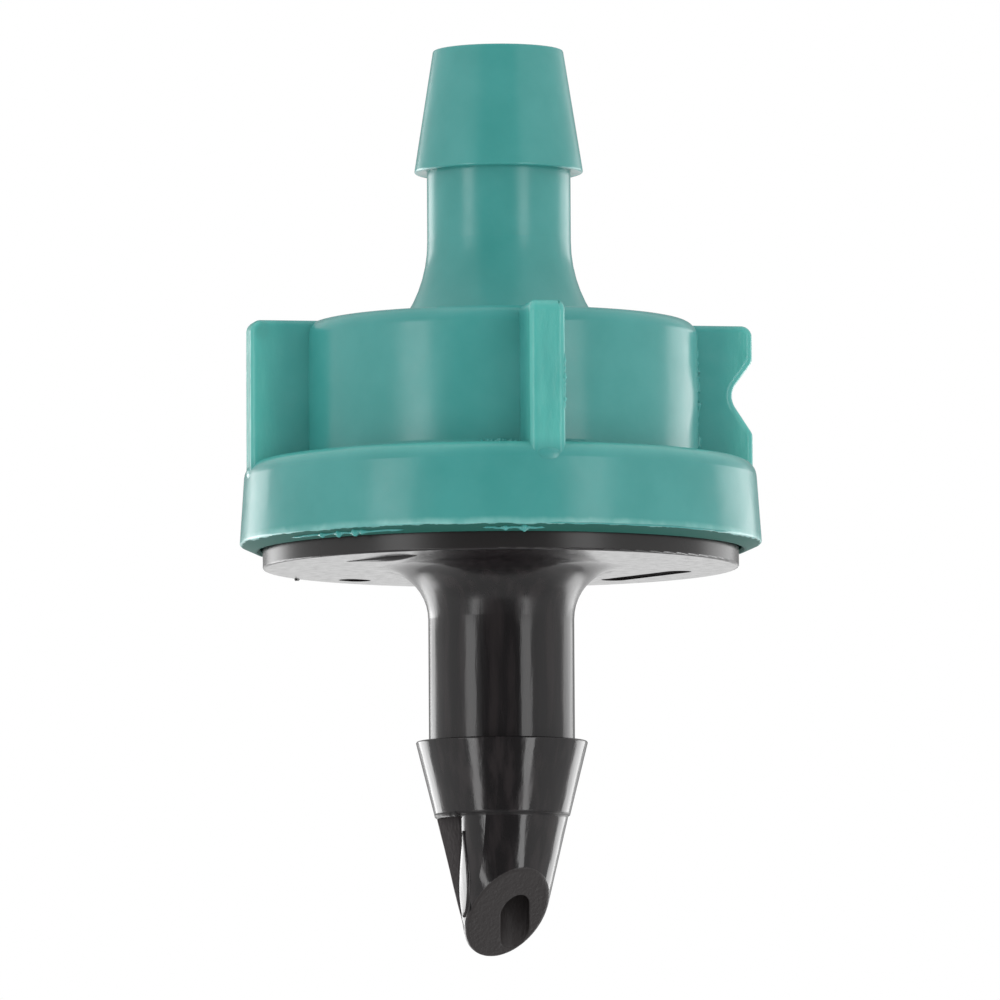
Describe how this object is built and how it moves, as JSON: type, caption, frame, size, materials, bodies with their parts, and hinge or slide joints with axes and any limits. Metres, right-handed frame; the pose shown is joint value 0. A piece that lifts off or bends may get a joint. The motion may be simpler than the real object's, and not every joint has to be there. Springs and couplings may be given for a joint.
{
  "type": "drip emitter",
  "caption": "Pressure-compensating drip emitter: black barbed spigot that pierces the pipe, snap-fit teal cap with grip wings and a barbed outlet for micro-tube.",
  "frame": {"origin": "on the middle axis, in the plane of the flange's underside, where the inlet spigot leaves the flange", "axes": "+Z along both spigots towards the outlet nozzle, +X to the right and +Y away from the viewer in the reference view; the wings stand at 10.8 degrees from the row's axes"},
  "size_m": [0.0154, 0.0154, 0.0267],
  "materials": {
    "base_plastic": "glossy black moulded polypropylene with faint flow streaks",
    "ring_plastic": "natural moulded acetal",
    "seal_rubber": "smooth black elastomer",
    "silicone": "translucent liquid silicone rubber",
    "cap_plastic": "satin teal moulded polypropylene"
  },
  "bodies": {
    "base": {"base": "base_plastic", "labyrinth_ring": "ring_plastic", "seal_ring": "seal_rubber"},
    "diaphragm": {"diaphragm": "silicone"},
    "cap": {"cap": "cap_plastic"}
  },
  "joints": [
    {"name": "cap_swivel", "type": "hinge", "parent": "base", "child": "cap", "pos_m": [0, 0, 0.001], "axis": [0, 0, 1], "continuous": true},
    {"name": "diaphragm_lift", "type": "slide", "parent": "base", "child": "diaphragm", "axis": [0, 0, 1], "range_m": [0, 0.00028]}
  ]
}
